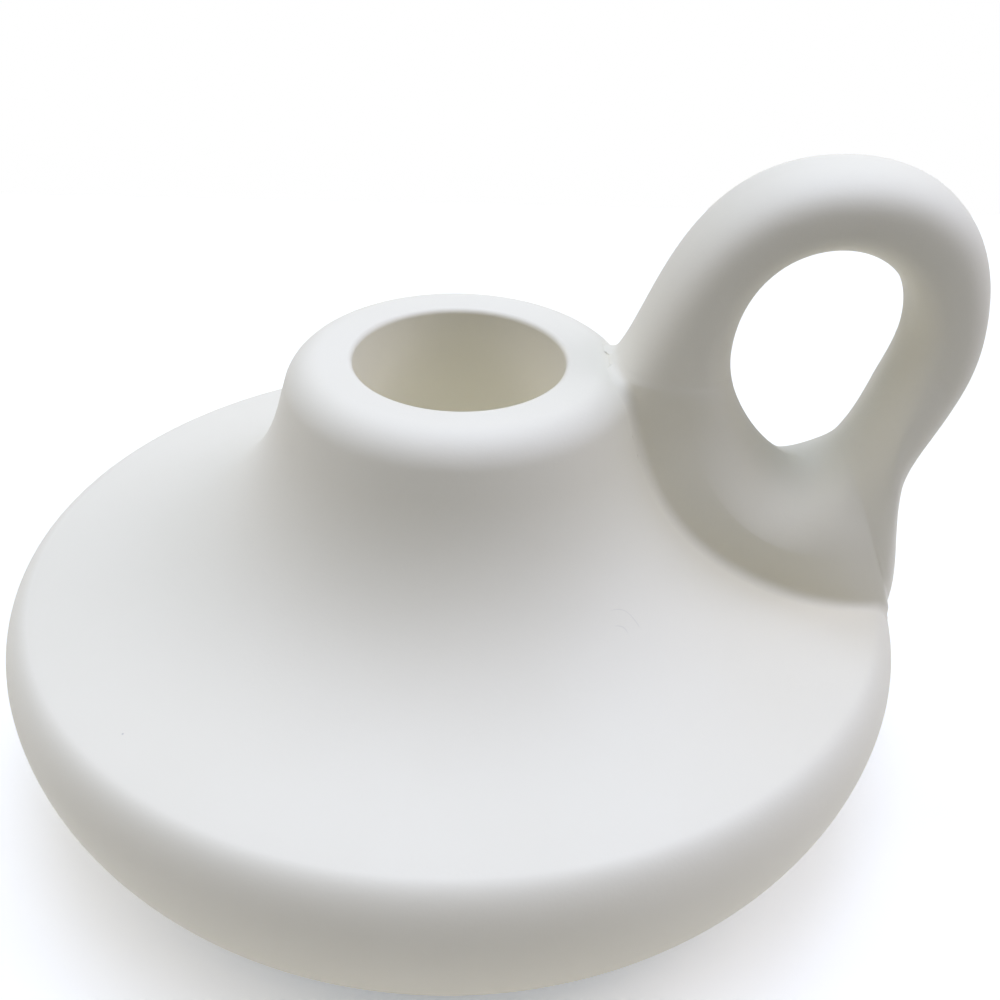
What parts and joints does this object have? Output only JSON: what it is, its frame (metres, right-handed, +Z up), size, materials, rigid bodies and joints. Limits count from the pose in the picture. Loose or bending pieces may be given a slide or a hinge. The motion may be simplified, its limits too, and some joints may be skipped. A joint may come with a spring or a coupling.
{
  "type": "chamber candlestick",
  "caption": "Low round ceramic candlestick with a swept neck, a cup for a dinner candle and a closed loop handle at one side.",
  "frame": {"origin": "on the axis of the dish, in the plane that the pad rests on", "axes": "+Z up along the candle's axis, +X out through the handle, +Y to the back as seen with the handle at the right"},
  "size_m": [0.1048, 0.1, 0.0736],
  "materials": {
    "matte_clay": "matte off-white, fine grained, with faint specks and soft sheen",
    "felt": "grey pressed felt"
  },
  "bodies": {
    "root": {"lower_bowl": "matte_clay", "upper_shell": "matte_clay", "candle_cup": "matte_clay", "loop_handle": "matte_clay", "base_pad": "felt"}
  },
  "joints": []
}
